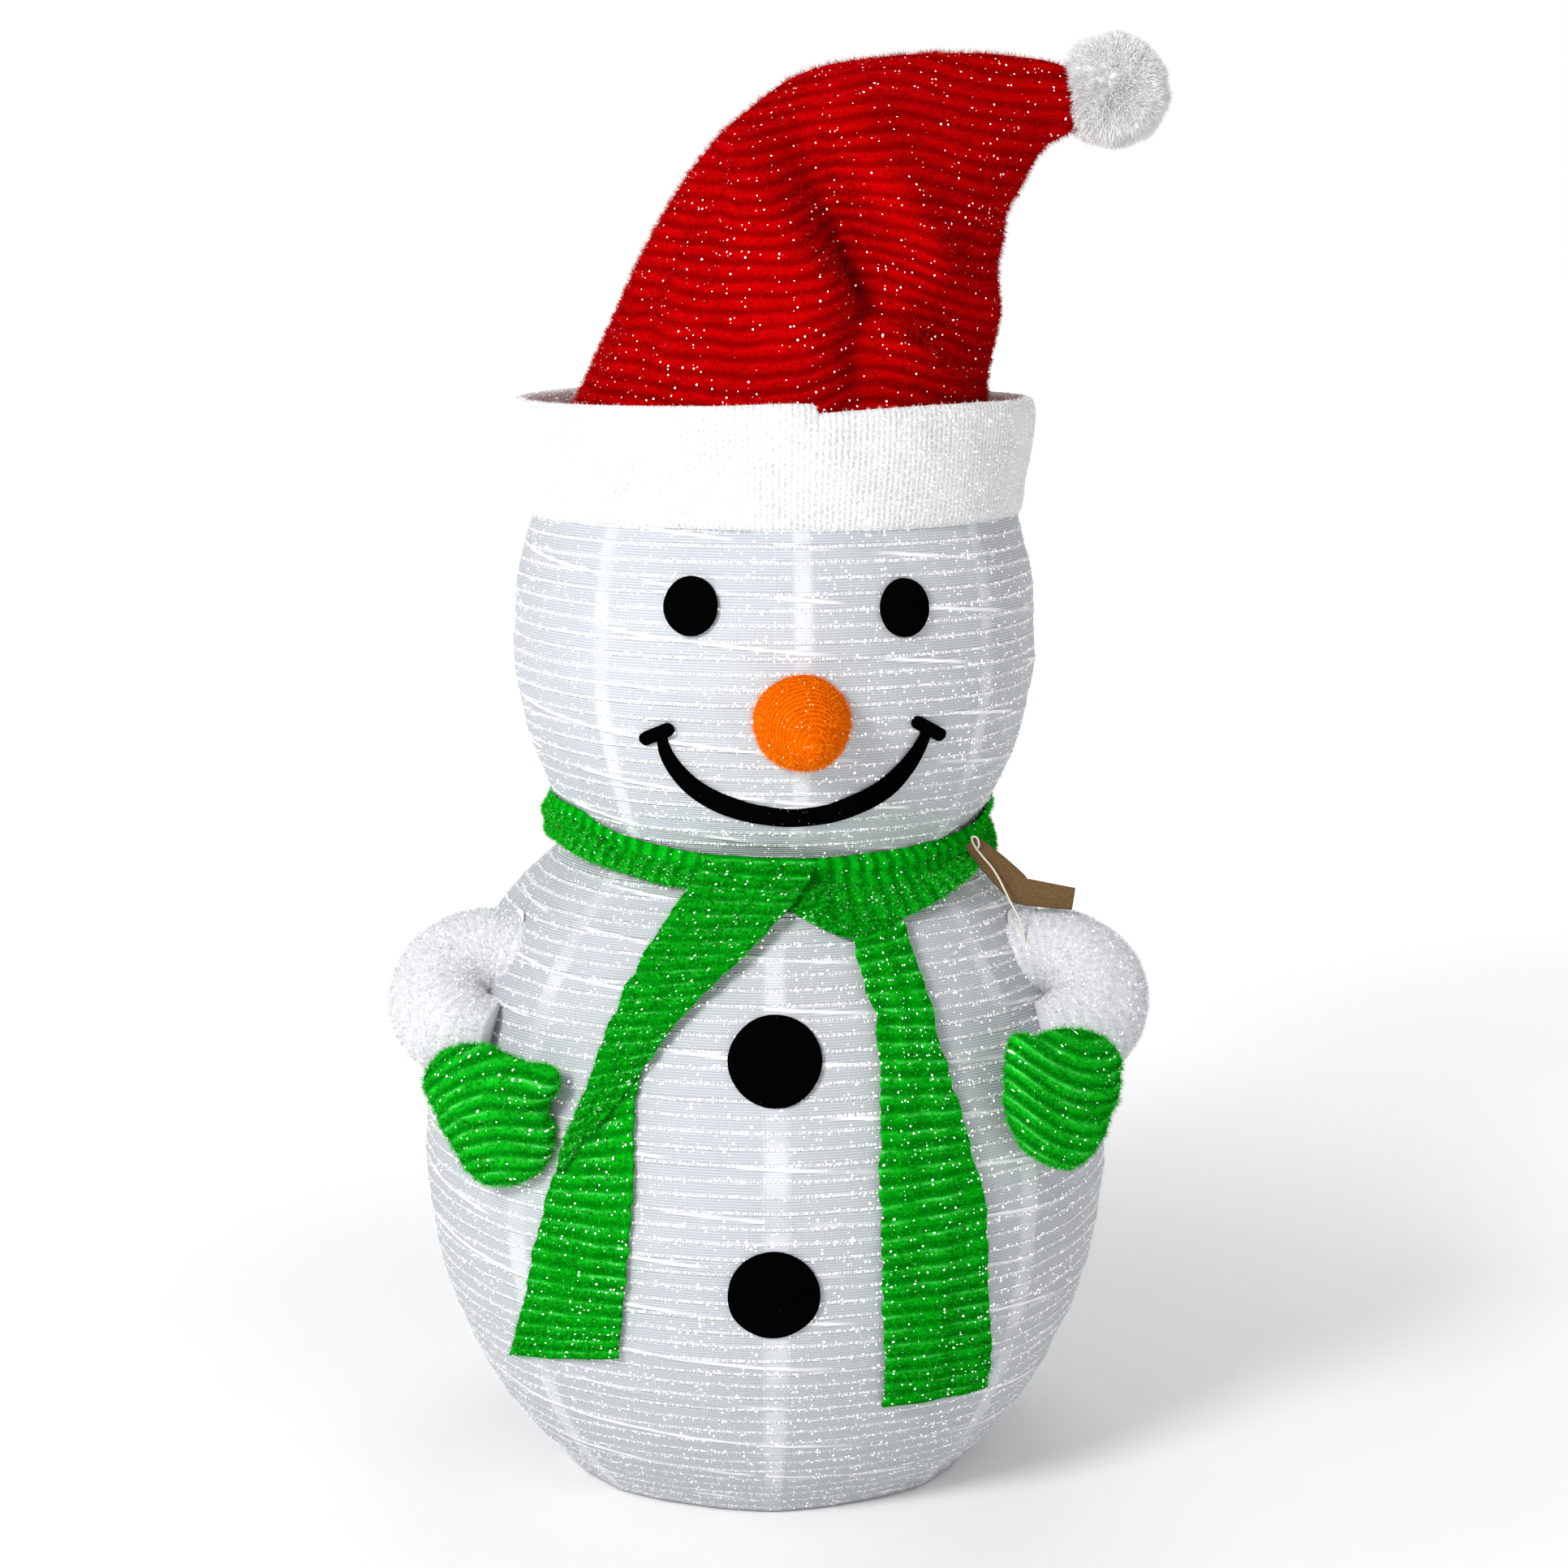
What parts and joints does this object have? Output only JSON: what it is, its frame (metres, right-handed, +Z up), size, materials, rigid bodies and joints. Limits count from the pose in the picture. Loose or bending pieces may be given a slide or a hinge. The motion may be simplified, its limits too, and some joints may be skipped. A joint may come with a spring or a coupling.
{
  "type": "collapsible yard snowman",
  "caption": "Free-standing yard snowman that folds flat: spring-wire body and head under gored tinsel cloth on a plug-together pole, with hat, scarf, mittens and hang tag.",
  "frame": {"origin": "on the floor under the pole, at the bottom face of the foot rivet", "axes": "+Z up along the pole; -Y towards the face; +X to the viewer's right"},
  "size_m": [0.6339, 0.5609, 1.151],
  "materials": {
    "steel_flat": "black powder coat",
    "pole_tube": "white powder coat",
    "zinc": "zinc plated",
    "spring_wire": "white coated spring wire",
    "rubber": "matte",
    "white_plastic": "moulded",
    "tinsel_cloth": "semi-sheer white cloth with tinsel rows",
    "white_cloth": "plain white woven",
    "white_tinsel": "white tinsel knit",
    "fill": "polyester wadding",
    "felt_black": "matte black felt",
    "orange_tinsel": "orange tinsel cloth",
    "green_tinsel": "bright green tinsel cloth",
    "red_tinsel": "red tinsel cloth with dark ribs",
    "white_knit": "ribbed knit with glitter",
    "white_fur": "long-pile faux fur",
    "kraft": "kraft card",
    "twine": "cream twine"
  },
  "bodies": {
    "stand": {"foot_bar_upper": "steel_flat", "foot_rivet": "zinc", "foot_pads": "rubber", "pole_socket": "steel_flat", "pole_lower": "pole_tube", "pole_middle": "pole_tube", "pole_upper": "pole_tube", "pole_cap": "rubber", "base_ring": "steel_flat", "ring_clips": "white_plastic", "body_cover": "tinsel_cloth", "body_seam_tapes": "white_cloth", "body_coil": "spring_wire", "button_upper": "felt_black", "button_lower": "felt_black"},
    "foot": {"foot_bar_lower": "steel_flat"},
    "neck": {"neck_ring": "pole_tube", "neck_band": "white_cloth", "neck_guide": "white_plastic", "head_cover": "tinsel_cloth", "head_seam_tapes": "white_cloth", "head_coil": "spring_wire", "eye_left": "felt_black", "eye_right": "felt_black", "mouth": "felt_black", "mouth_corners": "felt_black", "nose_cover": "orange_tinsel", "nose_fill": "fill", "scarf": "green_tinsel"},
    "crown": {"crown_ring": "pole_tube", "crown_spokes": "pole_tube", "crown_collar": "white_plastic", "crown_cloth": "white_cloth"},
    "screw": {"collar_screw": "zinc"},
    "hat": {"hat_cone": "red_tinsel", "hat_cuff": "white_knit", "hat_pompom": "white_fur"},
    "shoulder_left": {"arm_left_patch": "white_cloth"},
    "shoulder_right": {"arm_right_patch": "white_cloth"},
    "arm_left": {"arm_left_sleeve": "white_tinsel", "arm_left_fill": "fill", "mitten_left": "green_tinsel"},
    "arm_right": {"arm_right_sleeve": "white_tinsel", "arm_right_fill": "fill", "mitten_right": "green_tinsel"},
    "tag": {"hang_tag": "kraft", "tag_string": "twine"}
  },
  "joints": [
    {"name": "foot_bar_fold", "type": "hinge", "parent": "stand", "child": "foot", "pos_m": [0, 0, 0.0015], "axis": [0, 0, 1], "range_deg": [0, 75]},
    {"name": "neck_drop", "type": "slide", "parent": "stand", "child": "neck", "axis": [0, 0, -1], "range_m": [0, 0.3], "stiffness_N_per_m": 120, "springref_m": -0.35, "deforming": ["body_cover", "body_seam_tapes", "body_coil", "button_upper", "button_lower", "scarf"]},
    {"name": "crown_drop", "type": "slide", "parent": "neck", "child": "crown", "axis": [0, 0, -1], "range_m": [0, 0.22], "stiffness_N_per_m": 60, "springref_m": -0.2, "deforming": ["head_cover", "head_seam_tapes", "head_coil", "eye_left", "eye_right", "mouth", "mouth_corners", "nose_cover", "nose_fill"]},
    {"name": "collar_screw_turn", "type": "hinge", "parent": "crown", "child": "screw", "pos_m": [0, -0.02, 0.873], "axis": [0, -1, 0], "range_deg": [0, 360]},
    {"name": "hat_lift", "type": "slide", "parent": "stand", "child": "hat", "axis": [0, 0, 1], "range_m": [0, 0.36]},
    {"name": "shoulder_left_drop", "type": "slide", "parent": "stand", "child": "shoulder_left", "axis": [0, 0, -1], "range_m": [0, 0.2548]},
    {"name": "shoulder_right_drop", "type": "slide", "parent": "stand", "child": "shoulder_right", "axis": [0, 0, -1], "range_m": [0, 0.2548]},
    {"name": "arm_left_swing", "type": "hinge", "parent": "shoulder_left", "child": "arm_left", "pos_m": [-0.205, -0.078, 0.434], "axis": [-0.8192, 0.5736, 0], "range_deg": [0, 25], "deforming": ["arm_left_patch"]},
    {"name": "arm_right_swing", "type": "hinge", "parent": "shoulder_right", "child": "arm_right", "pos_m": [0.205, -0.078, 0.434], "axis": [-0.8192, -0.5736, 0], "range_deg": [0, 25], "deforming": ["arm_right_patch"]},
    {"name": "tag_swing", "type": "hinge", "parent": "shoulder_right", "child": "tag", "pos_m": [0.201, -0.115, 0.448], "axis": [1, 0, 0], "range_deg": [0, 45]}
  ],
  "couplings": [
    {"joint": "shoulder_left_drop", "follows": "neck_drop", "ratio": 0.8477},
    {"joint": "shoulder_right_drop", "follows": "neck_drop", "ratio": 0.8477}
  ]
}
